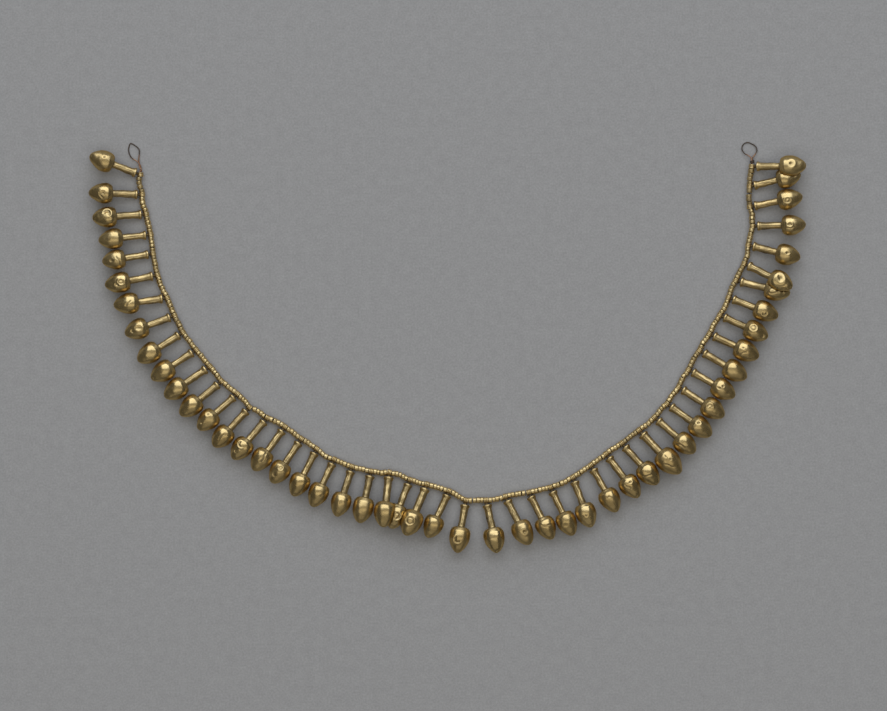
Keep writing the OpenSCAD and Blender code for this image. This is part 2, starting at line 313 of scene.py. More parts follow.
# Duller lengths of the string. Columns: number of the pendant before it, film on its beads
TARNISHED = (
    (1, 0.35),
    (4, 0.2),
    (5, 0.35),
    (8, 0.4),
    (9, 0.2),
    (34, 0.4),
    (36, 0.2),
    (38, 0.2),
    (39, 0.4),
    (43, 0.3),
    (44, 0.35),
    (45, 0.3),
    (46, 0.15),
    (47, 0.3),
    (48, 0.65),
    (49, 0.5),
)

# Where the string shows a dark open space. Columns: x px, y px, width in mm
STRING_GAPS = ((251.5, 408.0, 0.35), (475.5, 501.0, 0.25), (525.5, 491.0, 0.4), (749.0, 192.7, 0.5))

# Course of the wires at the two ends, x, y and z in mm, as in the CAD source
LEFT_SHANK = ((-122.8, 71.6, 1.4), (-124.0, 74.9, 0.9))
RIGHT_SHANK = ((121.9, 74.6, 1.4), (121.9, 76.3, 1.1))
LEFT_LOOP = (
    (-123.6, 76.8, 0.7),
    (-123.5, 79.4, 0.4),
    (-124.9, 80.9, 0.3),
    (-126.9, 82.0, 0.3),
    (-127.6, 80.8, 0.3),
    (-127.8, 79.2, 0.4),
    (-127.4, 77.6, 0.5),
    (-126.5, 76.1, 0.6),
    (-125.2, 75.3, 0.8),
)
RIGHT_LOOP = (
    (123.1, 77.4, 0.9),
    (124.0, 79.0, 0.7),
    (123.5, 80.8, 0.5),
    (121.8, 81.9, 0.3),
    (120.2, 82.4, 0.3),
    (118.9, 81.9, 0.3),
    (118.1, 80.7, 0.4),
    (118.1, 79.3, 0.6),
    (119.1, 77.9, 0.8),
    (120.6, 77.1, 1.0),
)
LEFT_TWIST = 1.5
RIGHT_TWIST = 0.5
# Distance from the middle of a shank to each strand, from the eye to the shank's start, and
# from the end of the string's wire to the end of the loop's
TWIST_R = 0.28
SHANK_LEAD = 0.4
WIRE_JOINT_GAP = 0.18
WIRE_SIDES = 14
FINE_WIRE_SIDES = 10
SHANK_STEPS = 12
LOOP_STEPS = 6
# Dirt on the string's wire and the wrap, on a shank and on a loop, which it covers over a
# distance from the shank
WIRE_DIRT = 0.9
SHANK_DIRT = 0.15
LOOP_DIRT = 0.95
LOOP_DIRT_RISE = (0.8, 3.5)

# The dark wrap round the right shank: distance from the eye, size of its turns and its wire
WRAP_START = 1.45
WRAP_PITCH = 0.42
WRAP_TURNS = 2.2
WRAP_R = 0.74
WRAP_WIRE_R = 0.19
WRAP_STEPS = 60

# Points round a pendant, and how far they crowd towards its upper side
SEGMENTS = 76
TOP_CROWDING = 0.45

# Blends in mm: into the bulb's relief past the start of the bulb, into the stem's past the
# eye, and out of it before the bulb. Marks come in over the last range, of how far a face
# looks up
BULB_BLEND = (0.2, 1.4)
STEM_BLEND = (3.2, 3.8)
STEM_FADE = 0.8
FACING_UP = (0.0, 0.35)

# Wear of the upper side in mm: at the tip, from and to a distance past the widest place, and
# round the shoulder, where it rises and falls again. It is never more than a share of the
# radius, and its fade is how quickly it dies away down the sides
TIP_WEAR = 0.55
TIP_WEAR_RISE = (0.4, 5.6)
SHOULDER_WEAR = 0.16
SHOULDER_WEAR_RISE = (0.1, 1.5)
SHOULDER_WEAR_FALL = (1.6, SHOULDER_R)
MOST_WORN_AWAY = 0.45
WEAR_FADE = 1.3

# Unevenness of the sheet: lengths and heights of its waves in mm. Columns of the two rows:
# height of the broad and of the fine waves, and the level they are lowered by, so that they
# mostly stay inside the outline
BROAD_WAVE = 6.5
FINE_WAVE = 2.2
BULB_WAVES = (0.07, 0.012, 0.9)
STEM_WAVES = (0.09, 0.06, 0.8)
WRINKLE_WAVE = 1.5
WRINKLE_HEIGHT = 0.12
WRINKLE_LEVEL = 0.8
EYE_WAVE = 1.4
EYE_WAVE_HEIGHT = 0.03
EYE_WAVE_LEVEL = 0.9

# The lapped edge of the sheet along a stem: angles in radians round the stem, heights in mm.
# On a slanting stem it lies nearer the top
SEAM_SPREAD = 0.9
SEAM_SLANT_SHARE = 0.8
SEAM_LAP = 0.9
SEAM_EDGE = 0.06
SEAM_MIDDLE = 0.14
SEAM_WIDTH = 0.16
SEAM_DIRT_WIDTH = 0.12
LAP_HEIGHT = 0.04
SEAM_DEPTH = 0.08

# Forms of the marks. The values named WIDTHS count in widths of the mark's own line
PIT_OVAL = 0.8
PIT_STEEPNESS = 1.6
PIT_RIM = 1.35
PIT_RIM_WIDTH = 0.4
PIT_RIM_HEIGHT = 0.28
CREASE_WANDER = 0.12
CREASE_WAVES = 2.4
CREASE_END_WIDTHS = 1.4
RIDGE_WIDTHS = 1.5
CREASE_RIDGE_HEIGHT = 0.5
RING_OVAL = 1.12
RING_PLACE = 0.72
RING_GROOVE_DEPTH = 0.75
RING_RIM_HEIGHT = 0.55
HOLLOW_REACH = 0.8
HOLLOW_STEEPNESS = 1.2
HOLLOW_DEPTH = 0.35
HOOK_HOLLOW = 0.35
HOOK_OPENING = (-0.45, 0.25)

# Dirt in the marks, less in a wide pit, and the depth in mm from which a mark holds all of it
PIT_DIRT = 0.8
PIT_DIRT_REACH = 0.45
CREASE_DIRT = 0.7
RING_DIRT = 0.4
FULL_DIRT_DEPTH = 0.3

# How dirty or how darkly shaded each place is, from 0 to 1, with the widths and places in mm. At the neck,
# on the sides and where a pendant lies under another it is painted shade, elsewhere it is dirt
# Painted shade in the neck, in the gap between the eye and the collar
NECK_SHADE = 0.9
NECK_SHADE_END = (1.9, 2.35)
COLLAR_DIRT = 0.35
COLLAR_DIRT_WIDTH = 0.25
ROOT_DIRT = 0.95
ROOT_DIRT_PLACE = 0.02
ROOT_DIRT_WIDTH = 0.3
SEAM_DIRT = 0.55
STEM_DIRT = 0.08
# Painted shade on the sides of the stem, away from its top
STEM_SIDE_SHADE = 0.34
STEM_PATCH_DIRT = 0.2
# Painted shade on the sides of the whole pendant, which also dims their reflections
SIDE_SHADE = 0.24
# Painted shade on a pendant where it lies under another
PRESSED_SHADE = 0.35
EYE_DIRT = 0.02
EYE_GROOVE_DIRT = 0.5
# Painted shade on the sides begins where a face looks up less than the first value, and grows
# over the second one
STEM_SIDE_LEAN = 0.98
STEM_SIDE_SPAN = 0.3
SIDE_SHADE_LEAN = 0.92
SIDE_SHADE_SPAN = 0.28

# Dullness of the stem and the eye, and the most that pendants and beads differ in it
STEM_DULL = 0.25
EYE_DULL = 0.5
PENDANT_DULL = 0.25
BEAD_DULL = 0.4

# Outline of one rib of the eye, as share of the rib's width and height over the eye's radius
EYE_RIB = ((0.02, -0.13), (0.12, -0.04), (0.3, 0.0), (0.5, 0.01), (0.7, 0.0), (0.88, -0.04), (0.98, -0.13))
EYE_SEGMENTS = 24
EYE_GROOVE = 0.1
EDGE_INSET = 0.02

# Ring beads: distance from one to the next, space at the eyes and between two beads
BEAD_PITCH = 1.46
BEAD_EYE_SPACE = 0.06
BEAD_SPACE = 0.07
BEAD_SEGMENTS = 20
# Outline of a bead, as share of its length and height over its radius, and the painted shade on each
# point, darkest at the ends where beads meet
BEAD_BORE_EDGE = 0.46
BEAD_ROUND = (
    (-0.5, -0.2),
    (-0.48, -0.09),
    (-0.4, -0.02),
    (-0.15, 0.0),
    (0.15, 0.0),
    (0.4, -0.02),
    (0.48, -0.09),
    (0.5, -0.2),
)
BEAD_END_SHADE = (0.95, 0.65, 0.15, 0.0, 0.0, 0.0, 0.0, 0.15, 0.65, 0.95)
# Shares between which beads differ in width, length and film, how far they lean, and how far
# in mm they stray to the side and up or down
BEAD_WIDTHS = (0.92, 1.04)
BEAD_LENGTHS = (0.85, 1.15)
BEAD_FILMS = (0.5, 1.2)
BEAD_LEAN = 0.1
BEAD_STRAY = 0.12
BEAD_LIFT = 0.06
FEWEST_BEADS = 3
# Film on the clean lengths of string, width of a bow as share of its length, how squarely it
# leaves the eyes, and how far in mm an open space may lie from the string's straight line
CLEAN_FILM = 0.04
BOW_WIDTH = 0.33
BOW_ENDS = 0.4
GAP_REACH = 1.5

# Seeds of the random differences between pendants, and between lengths of the string
PENDANT_SEED = 1000
STRING_SEED = 5000


def from_photo(px, py):
    """Place in the CAD frame, in mm, of a place in the photograph."""
    return ((px - PX_CENTRE[0]) * PX_MM, (PX_CENTRE[1] - py) * PX_MM)


def unit(vector):
    vector = np.asarray(vector, float)
    return vector / np.linalg.norm(vector)


def smooth(x, low, high):
    """Rises smoothly from 0 at the low value to 1 at the high one."""
    t = np.clip((x - low) / (high - low), 0, 1)
    return t * t * (3 - 2 * t)


def bell(distance, width):
    """Smooth hump, 1 in its middle."""
    return np.exp(-((distance / width) ** 2))


def even_turn(steps):
    """Angles of one turn in even steps."""
    return np.linspace(0, TAU, steps, endpoint=False)


def circle(first, second, angles):
    """Points on the unit circle that starts at one vector and turns towards another."""
    return np.cos(angles)[:, None] * first + np.sin(angles)[:, None] * second


def square_to(along):
    """Two unit vectors square to a direction, the first of them level."""
    side = unit(np.cross(along, UP))
    return side, np.cross(side, along)


def direction_at(path, i):
    """Direction of a path at one of its points."""
    return unit(path[min(i + 1, len(path) - 1)] - path[max(i - 1, 0)])


def spline(points, steps):
    """Smooth course through points, in even steps from each to the next."""
    p = np.asarray(points, float)
    last = len(p) - 1
    course = []
    for i in range(last):
        a, b, c, d = p[max(i - 1, 0)], p[i], p[i + 1], p[min(i + 2, last)]
        for t in np.arange(steps) / steps:
            bend = 2 * a - 5 * b + 4 * c - d + t * (3 * b - a - 3 * c + d)
            course.append(b + 0.5 * t * (c - a + t * bend))
    course.append(p[-1])
    return np.array(course)


# Where each pendant lies


def bulb_start(i):
    """Distance from the eye to the bulb's shoulder, before the pendant's own size."""
    return BULB_START + PENDANTS[i][STEM]


def rest_tilt(i):
    """Tilt in degrees of a pendant that rests on the shoulder of its bulb."""
    centre = (BULB_R - SHOULDER_R, bulb_start(i) + SHOULDER_R)
    rise = SHOULDER_R - STRING_Z / PENDANTS[i][SIZE]
    return math.degrees(math.atan2(*centre) + math.asin(rise / math.hypot(*centre)))


def eye(i):
    """Middle of a pendant's eye."""
    return np.array([PENDANTS[i][EYE_X], PENDANTS[i][EYE_Y], STRING_Z])


def axes(i):
    """Unit vectors of a pendant: along it, across it to the side, and up from it."""
    heading = math.radians(PENDANTS[i][HEADING])
    tilt = math.radians(rest_tilt(i) + PENDANTS[i][LIFT])
    level = math.cos(tilt)
    along = np.array([level * math.cos(heading), level * math.sin(heading), math.sin(tilt)])
    side = np.array([-math.sin(heading), math.cos(heading), 0.0])
    return along, side, np.cross(along, side)


def string_direction(i):
    """Direction of the string where it passes through a pendant's eye."""
    last = len(PENDANTS) - 1
    before = unit(eye(max(i, 1)) - eye(max(i - 1, 0)))
    after = unit(eye(min(i + 1, last)) - eye(min(i, last - 1)))
    return unit(before + after)


# Outline of a pendant, as distance along its axis and radius


def pendant_outline(i):
    """Outline before the pendant's own size."""
    start = bulb_start(i)
    narrowing = STEM_END_R - STEM_R
    stem = []
    for s in np.linspace(STEM_FIRST_RING, start - STEM_LAST_RING, STEM_RINGS):
        stem.append((s, STEM_R + narrowing * (s - STEM_START) / (start - STEM_START)))
    fillet = [(start + s, r) for s, r in STEM_FILLET]
    bulb = [(start + s, r) for s, r in SHOULDER] + [(BULB_WIDEST + s, r) for s, r in FLANK]
    return np.concatenate([HEAD, stem, fillet, spline(bulb, BULB_STEPS)])


OUTLINES = [pendant_outline(i) for i in range(len(PENDANTS))]


def outline_radius(s, i):
    """Radius of a pendant at distance s along its axis."""
    outline = OUTLINES[i] * PENDANTS[i][SIZE]
    return np.interp(s, outline[:, 0], outline[:, 1], left=0, right=0)


# Relief of the sheet


class Waves:
    """Smooth seeded unevenness in space, about -1 to 1, as the sum of a few plain waves."""

    COUNT = 10
    LENGTHS = (0.6, 1.6)
    STRENGTH = 1.4

    def __init__(self, rng, wavelength):
        directions = rng.normal(size=(self.COUNT, 3))
        directions /= np.linalg.norm(directions, axis=1)[:, None]
        lengths = wavelength * rng.uniform(*self.LENGTHS, self.COUNT)
        self.waves = directions * (TAU / lengths)[:, None]
        self.phases = rng.uniform(0, TAU, self.COUNT)
        self.scale = self.STRENGTH / math.sqrt(self.COUNT)

    def __call__(self, points):
        return np.sin(points @ self.waves.T + self.phases).sum(1) * self.scale / math.sqrt(2)


def pit(u, v, reach, depth):
    """Dent with a raised rim."""
    rho = np.hypot(u / reach, v / (reach * PIT_OVAL))
    hollow = np.exp(-(rho**2) * PIT_STEEPNESS)
    rim = bell(rho - PIT_RIM, PIT_RIM_WIDTH)
    dirt = hollow * min(PIT_DIRT, PIT_DIRT_REACH / reach)
    return -depth * hollow + PIT_RIM_HEIGHT * depth * rim, dirt


def crease(u, v, reach, width, depth, phase):
    """Long dent that wanders a little, with a ridge along one side."""
    across = v - CREASE_WANDER * reach * np.sin(u * CREASE_WAVES / reach + phase)
    past_end = (np.maximum(np.abs(u) - reach, 0) / (width * CREASE_END_WIDTHS)) ** 2
    groove = np.exp(-((across / width) ** 2) - past_end)
    ridge = np.exp(-(((across - RIDGE_WIDTHS * width) / width) ** 2) - past_end)
    return -depth * groove + CREASE_RIDGE_HEIGHT * depth * ridge, groove * CREASE_DIRT


def ring(u, v, reach, width, depth, hooked):
    """Punched ring with a raised edge and a hollow middle. A hook is a ring open on one side."""
    rho = np.hypot(u, v * RING_OVAL)
    groove = bell(rho - reach * RING_PLACE, width)
    rim = bell(rho - reach * RING_PLACE - RIDGE_WIDTHS * width, width)
    hollow = np.exp(-((rho / (reach * HOLLOW_REACH)) ** 2) * HOLLOW_STEEPNESS)
    if hooked:
        closed_side = smooth(np.cos(np.arctan2(v, u)), *HOOK_OPENING)
        groove, rim = groove * closed_side, rim * closed_side
        hollow = hollow * HOOK_HOLLOW
    sunk = depth * (RING_GROOVE_DEPTH * groove + HOLLOW_DEPTH * hollow)
    return -sunk + RING_RIM_HEIGHT * depth * rim, groove * RING_DIRT


def mark_relief(points, form, px, py, reach, width, direction, depth):
    """Height change and dirt that one mark gives to points seen from above."""
    angle = math.radians(direction)
    offset = points[:, :2] - np.array(from_photo(px, py))
    u = offset @ np.array([math.cos(angle), math.sin(angle)])
    v = offset @ np.array([-math.sin(angle), math.cos(angle)])
    if form == PIT:
        return pit(u, v, reach, depth)
    if form == CREASE:
        return crease(u, v, reach, width, depth, px)
    return ring(u, v, reach, width, depth, form == HOOK)


def press_out(points, upper):
    """Moves points out of the bulb on top of them, and tells how near to it each one lies."""
    size = PENDANTS[upper][SIZE]
    along, side, over = axes(upper)
    offset = points - eye(upper)
    s, across, height = offset @ along, offset @ side, offset @ over
    radius = outline_radius(s, upper)
    radius = np.where(s > (bulb_start(upper) - PRESS_STEM) * size, radius, 0)
    target = radius + PRESS_GAP
    rho = np.hypot(across, height)
    inside = (radius > 0) & (rho < target)
    away = math.copysign(1.0, np.median(across))
    beside = away * np.sqrt(np.maximum(target**2 - height**2, 0))
    grow = target / np.maximum(rho, 1e-6)
    across = np.where(inside, np.where(height > 0, beside, across * grow), across)
    height = np.where(inside & (height <= 0), height * grow, height)
    moved = eye(upper) + s[:, None] * along + across[:, None] * side + height[:, None] * over
    nearness = np.where(radius > 0, np.exp(-np.maximum(rho - target, 0) / PRESS_REACH), 0)
    return moved, nearness


# Meshes


def band_faces(first, second, segments):
    """Faces between two rings of points, each given by the number of its first point."""
    faces = []
    for j in range(segments):
        n = (j + 1) % segments
        faces.append((first + j, first + n, second + n, second + j))
    return faces


def tube_faces(rings, segments):
    """Faces of a tube that is closed at both ends."""
    faces = []
    for k in range(rings - 1):
        faces += band_faces(k * segments, (k + 1) * segments, segments)
    faces.append(tuple(range(segments))[::-1])
    faces.append(tuple(range((rings - 1) * segments, rings * segments)))
    return faces


def turned_ring(centre, direction, outline, segments):
    """Points and faces of a closed outline (distance along, radius) turned about a direction."""
    direction = unit(direction)
    side = unit(np.cross(UP, direction))
    around = circle(np.cross(direction, side), side, even_turn(segments))
    points = np.array([centre + s * direction + r * around for s, r in outline]).reshape(-1, 3)
    faces = []
    for k in range(len(outline)):
        faces += band_faces(k * segments, (k + 1) % len(outline) * segments, segments)
    return points, faces


class Shape:
    """Gathers points, faces and the three values of one piece: dirt with painted shade, tone and dullness.
    """

    def __init__(self):
        self.points, self.faces, self.grime, self.tone, self.dull = [], [], [], [], []
        self.count = 0

    def add(self, points, faces, grime, tone, dull=0.0):
        self.points.append(points)
        self.faces += [tuple(v + self.count for v in face) for face in faces]
        self.grime.append(np.broadcast_to(grime, len(points)))
        self.tone.append(np.broadcast_to(tone, len(points)))
        self.dull.append(np.broadcast_to(dull, len(points)))
        self.count += len(points)

    def build(self, name, material, node):
        """Makes the piece, which stands in for one node of the solids."""
        mesh = bpy.data.meshes.new(name)
        mesh.from_pydata((np.concatenate(self.points) * MM).tolist(), [], self.faces)
        mesh.polygons.foreach_set("use_smooth", [True] * len(mesh.polygons))
        for label, values in (("grime", self.grime), ("tone", self.tone), ("dull", self.dull)):
            layer = mesh.attributes.new(label, "FLOAT", "POINT")
            layer.data.foreach_set("value", np.concatenate(values).astype(np.float32))
        mesh.materials.append(material)
        mesh.validate()
        mesh.update()
        piece = bpy.data.objects.new(name, mesh)
        bpy.context.scene.collection.objects.link(piece)
        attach(piece, "root")
        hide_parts(node)


# Materials

# Noise in the metals. Columns: scale for each metre, detail, roughness
PATCHES = (230.0, 3.0, 0.55)
SPECKLE = (1500.0, 5.0, 0.65)
SCUFFS = (420.0, 4.0, 0.55)
HAMMERING = (650.0, 2.0, 0.55)
GRAIN = (4200.0, 3.0, 0.55)
BUMP_HEIGHT = 0.00012
# Tint of the metals where light grazes them
RIM_TINT = (0.95, 0.74, 0.42)

# The paper on the floor: its noise, its two colours, its gloss and its size in metres
PAPER_CLOUDS = (260.0, 3.0, 0.6)
PAPER_FIBRES = (1300.0, 4.0, 0.6)
PAPER_DARK = (0.268, 0.262, 0.252)
PAPER_LIGHT = (0.352, 0.345, 0.332)
PAPER_ROUGHNESS = 0.9
PAPER_SPECULAR = 0.2
FLOOR_SIZE = 8.0


def new_material(name):
    material = bpy.data.materials.new(name)
    material.use_nodes = True
    tree = material.node_tree
    return material, tree, tree.nodes["Principled BSDF"]


def add_node(tree, kind, **settings):
    """New node, with values for its sockets or its own settings."""
    node = tree.nodes.new(kind)
    for key, value in settings.items():
        if key in node.inputs:
            node.inputs[key].default_value = value
        else:
            setattr(node, key, value)
    return node


def attribute(tree, label):
    return add_node(tree, "ShaderNodeAttribute", attribute_name=label).outputs["Fac"]


def noise(tree, where, scale, detail, rough):
    node = add_node(tree, "ShaderNodeTexNoise", Scale=scale, Detail=detail, Roughness=rough)
    tree.links.new(where, node.inputs["Vector"])
    return node.outputs["Fac"]


def ranged(tree, value, low, high, to_low=0.0, to_high=1.0):
    """Maps a range of values to another one, and stays within that."""
    node = add_node(tree, "ShaderNodeMapRange")
    node.inputs["From Min"].default_value = low
    node.inputs["From Max"].default_value = high
    node.inputs["To Min"].default_value = to_low
    node.inputs["To Max"].default_value = to_high
    tree.links.new(value, node.inputs["Value"])
    return node.outputs["Result"]


def mixed(tree, factor, first, second):
    """Mix of two colours. The colour sockets of a Mix node are its inputs 6 and 7 and output 2."""
    node = add_node(tree, "ShaderNodeMix", data_type="RGBA")
    tree.links.new(factor, node.inputs["Factor"])
    for value, socket in ((first, node.inputs[6]), (second, node.inputs[7])):
        if isinstance(value, tuple):
            socket.default_value = (*value, 1.0)
        else:
            tree.links.new(value, socket)
    return node.outputs[2]


def calculated(tree, operation, first, second):
    node = add_node(tree, "ShaderNodeMath", operation=operation)
    for value, socket in ((first, node.inputs[0]), (second, node.inputs[1])):
        if isinstance(value, (int, float)):
            socket.default_value = value
        else:
            tree.links.new(value, socket)
    return node.outputs[0]


def added(tree, first, second):
    return calculated(tree, "ADD", first, second)


def times(tree, first, second):
    return calculated(tree, "MULTIPLY", first, second)


def worn_metal(name, bright, deep, crust, rough_low, rough_high, bump):
    """Old metal: two tones of metal, brown crust where the value of dirt and painted shade is high, fine
    scratches.
    """
    material, tree, shader = new_material(name)
    place = add_node(tree, "ShaderNodeTexCoord").outputs["Object"]
    grime, tone, dull = (attribute(tree, label) for label in ("grime", "tone", "dull"))

    patches = ranged(tree, noise(tree, place, *PATCHES), 0.35, 0.65, 0.0, 0.55)
    metal = mixed(tree, added(tree, patches, ranged(tree, tone, 0.0, 1.0, 0.0, 0.45)), bright, deep)
    specks = ranged(tree, noise(tree, place, *SPECKLE), 0.35, 0.7)
    specks = times(tree, specks, ranged(tree, grime, 0.0, 1.0, 0.25, 2.2))
    # The crust stands for dirt, and for painted shade where the value holds it
    film = added(tree, times(tree, specks, 0.25), ranged(tree, grime, 0.1, 0.95, 0.0, 0.85))
    film = ranged(tree, film, 0.0, 1.0)
    tree.links.new(mixed(tree, film, metal, crust), shader.inputs["Base Color"])
    tree.links.new(ranged(tree, film, 0.3, 1.0, 1.0, 0.55), shader.inputs["Metallic"])
    shader.inputs["Specular Tint"].default_value = (*RIM_TINT, 1.0)

    scuffs = ranged(tree, noise(tree, place, *SCUFFS), 0.3, 0.7, rough_low, rough_high)
    rough = added(tree, scuffs, times(tree, film, 0.25))
    rough = added(tree, rough, times(tree, dull, 0.3))
    tree.links.new(rough, shader.inputs["Roughness"])

    grain = times(tree, noise(tree, place, *GRAIN), 0.25)
    relief = added(tree, noise(tree, place, *HAMMERING), grain)
    surface = add_node(tree, "ShaderNodeBump", Strength=bump, Distance=BUMP_HEIGHT)
    tree.links.new(relief, surface.inputs["Height"])
    tree.links.new(surface.outputs["Normal"], shader.inputs["Normal"])
    return material


gold_sheet = worn_metal(
    "gold_sheet",
    bright=(0.80, 0.60, 0.275),
    deep=(0.70, 0.50, 0.21),
    crust=(0.085, 0.062, 0.036),
    rough_low=0.17,
    rough_high=0.28,
    bump=0.07,
)
bead_gold = worn_metal(
    "bead_gold",
    bright=(0.88, 0.68, 0.33),
    deep=(0.74, 0.54, 0.23),
    crust=(0.12, 0.08, 0.04),
    rough_low=0.2,
    rough_high=0.34,
    bump=0.1,
)
copper_wire = worn_metal(
    "copper_wire",
    bright=(0.56, 0.32, 0.19),
    deep=(0.42, 0.23, 0.13),
    crust=(0.10, 0.08, 0.065),
    rough_low=0.3,
    rough_high=0.5,
    bump=0.3,
)

# Pendants


class Skin:
    """Outline of a pendant turned about its axis, with what is known at each of its points."""

    def __init__(self, i):
        size, start, outline = PENDANTS[i][SIZE], bulb_start(i), OUTLINES[i]
        along, side, up = axes(i)
        even = even_turn(SEGMENTS)
        turns = even - TOP_CROWDING * np.sin(even)
        outward = np.tile(circle(up, -side, turns), (len(outline), 1))
        lean = np.repeat(np.gradient(outline[:, 1], outline[:, 0]), SEGMENTS)
        s = np.repeat(outline[:, 0] * size, SEGMENTS)
        self.radius = np.repeat(outline[:, 1] * size, SEGMENTS)
        self.turn = np.tile(turns, len(outline))
        self.normal = (outward - lean[:, None] * along) / np.sqrt(1 + lean**2)[:, None]
        self.points = eye(i) + s[:, None] * along + self.radius[:, None] * outward
        self.on_bulb = smooth(s, (start + BULB_BLEND[0]) * size, (start + BULB_BLEND[1]) * size)
        before_bulb = 1 - smooth(s, (start - STEM_FADE) * size, start * size)
        self.on_stem = smooth(s, *STEM_BLEND) * before_bulb
        self.facing_up = smooth(self.normal[:, 2], *FACING_UP)
        self.s, self.size, self.start = s, size, start


def worn_top(skin):
    """Height change of the upper side, which is worn most of all towards the tip."""
    beyond = skin.s / skin.size - BULB_WIDEST
    before = (skin.start + SHOULDER_R) - skin.s / skin.size
    worn = TIP_WEAR * smooth(beyond, *TIP_WEAR_RISE)
    worn += SHOULDER_WEAR * smooth(before, *SHOULDER_WEAR_RISE) * (1 - smooth(before, *SHOULDER_WEAR_FALL))
    worn = np.minimum(worn, MOST_WORN_AWAY * skin.radius)
    return -worn * np.maximum(np.cos(skin.turn), 0) ** WEAR_FADE


def seam(i, skin, rng):
    """Height change and dirt of the sheet's lapped edge, nearer the top on slanting stems."""
    slanting = abs(math.sin(2 * math.radians(PENDANTS[i][HEADING])))
    place = rng.uniform(-SEAM_SPREAD, SEAM_SPREAD) * (1 - SEAM_SLANT_SHARE * slanting)
    past = (skin.turn - place + math.pi) % TAU - math.pi
    lap = smooth(past, -SEAM_LAP, 0.0) * (past < SEAM_EDGE)
    height = LAP_HEIGHT * lap - SEAM_DEPTH * bell(past - SEAM_MIDDLE, SEAM_WIDTH)
    return skin.on_stem * height, skin.on_stem * bell(past - SEAM_MIDDLE, SEAM_DIRT_WIDTH)


def settled_dirt_and_shade(skin, broad, seam_dirt):
    """Dirt and painted shade that every pendant holds: dirt by the collar, at the bulb's root, in the seam
    and on the stem; painted shade in the neck and on the sides of the stem and of the whole pendant.
    """
    s, size, upward = skin.s, skin.size, skin.normal[:, 2]
    # Painted shade on the stem's sides, growing where its faces turn away from up
    stem_side_shade = STEM_SIDE_SHADE * smooth(STEM_SIDE_LEAN - upward, 0.0, STEM_SIDE_SPAN)
    return np.maximum.reduce([
        # Painted shade in the neck
        NECK_SHADE * (1 - smooth(s, *NECK_SHADE_END)),
        COLLAR_DIRT * bell(s - STEM_START * size, COLLAR_DIRT_WIDTH),
        ROOT_DIRT * bell(s - (skin.start + ROOT_DIRT_PLACE) * size, ROOT_DIRT_WIDTH),
        SEAM_DIRT * seam_dirt,
        skin.on_stem * (STEM_DIRT + stem_side_shade + STEM_PATCH_DIRT * (broad + 0.5)),
        # Painted shade on the pendant's sides, where its faces turn away from up
        SIDE_SHADE * smooth(SIDE_SHADE_LEAN - upward, 0.0, SIDE_SHADE_SPAN),
    ])


def keep_in_bounds(points):
    """Keeps points above the floor and below the top of the solids."""
    points[:, 2] = np.maximum(points[:, 2], FLOOR_CLEARANCE)
    above = np.maximum(points[:, 2] - TOP_EASE, 0)
    room = TOP_LIMIT - TOP_EASE
    points[:, 2] -= above - room * (1 - np.exp(-above / room))


def pendant_body(i, rng):
    """Points, dirt with painted shade, and dullness of a pendant without its eye."""
    skin = Skin(i)
    uneven = worn_top(skin)
    broad, fine = Waves(rng, BROAD_WAVE), Waves(rng, FINE_WAVE)
    broad, fine = broad(skin.points), fine(skin.points)
    for part, waves in ((skin.on_bulb, BULB_WAVES), (skin.on_stem, STEM_WAVES)):
        broad_height, fine_height, level = waves
        uneven += part * (broad_height * (broad - level) + fine_height * (fine - level))
    seam_height, seam_dirt = seam(i, skin, rng)
    uneven += seam_height
    grime = settled_dirt_and_shade(skin, broad, seam_dirt)

    for number, *mark in MARKS:
        if number == i + 1:
            height, dirt = mark_relief(skin.points, *mark)
            uneven += height * skin.facing_up
            grime = np.maximum(grime, dirt * skin.facing_up * min(1.0, mark[-1] / FULL_DIRT_DEPTH))
    points = skin.points + skin.normal * uneven[:, None]

    for under, over in LIES_UNDER:
        if under == i + 1:
            points, near = press_out(points, over - 1)
            wrinkles = Waves(rng, WRINKLE_WAVE)(points) - WRINKLE_LEVEL
            wrinkles = WRINKLE_HEIGHT * near * wrinkles * skin.facing_up
            points = points + skin.normal * wrinkles[:, None]
            # Painted shade where this pendant lies under the one on top, darkest at the contact
            grime = np.maximum(grime, PRESSED_SHADE * near)
    keep_in_bounds(points)
    dull = np.clip(STEM_DULL * (1 - skin.on_bulb), rng.uniform(0.0, PENDANT_DULL), 1)
    return points, grime, dull


def eye_outline():
    """Ribbed outline of the eye, as distance along the string and radius."""
    half = EYE_WIDTH / 2
    pitch = EYE_WIDTH / EYE_RIBS
    outline = [(-half + EDGE_INSET, EYE_BORE_R)]
    for k in range(EYE_RIBS):
        outline += [(-half + k * pitch + across * pitch, EYE_R + rise) for across, rise in EYE_RIB]
    outline.append((half - EDGE_INSET, EYE_BORE_R))
    return outline


def add_eye(shape, i, rng, tone):
    outline = eye_outline()
    points, faces = turned_ring(eye(i), string_direction(i), outline, EYE_SEGMENTS)
    radius = np.array([r for _, r in outline])
    grime = np.where(radius < EYE_R - EYE_GROOVE, EYE_GROOVE_DIRT, EYE_DIRT)
    waves = EYE_WAVE_HEIGHT * (Waves(rng, EYE_WAVE)(points) - EYE_WAVE_LEVEL)
    points = points + waves[:, None] * unit([0.3, 0.2, 1.0])
    shape.add(points, faces, np.repeat(grime, EYE_SEGMENTS), tone, EYE_DULL)


for i in range(len(PENDANTS)):
    rng = np.random.default_rng(PENDANT_SEED + i)
    shape = Shape()
    tone = rng.uniform(0, 1)
    points, grime, dull = pendant_body(i, rng)
    shape.add(points, tube_faces(len(OUTLINES[i]), SEGMENTS), grime, tone, dull)
    add_eye(shape, i, rng, tone)
    number = f"{i + 1:02d}"
    shape.build(f"bud_{number}", gold_sheet, f"pendant_{number}")

# Ring beads


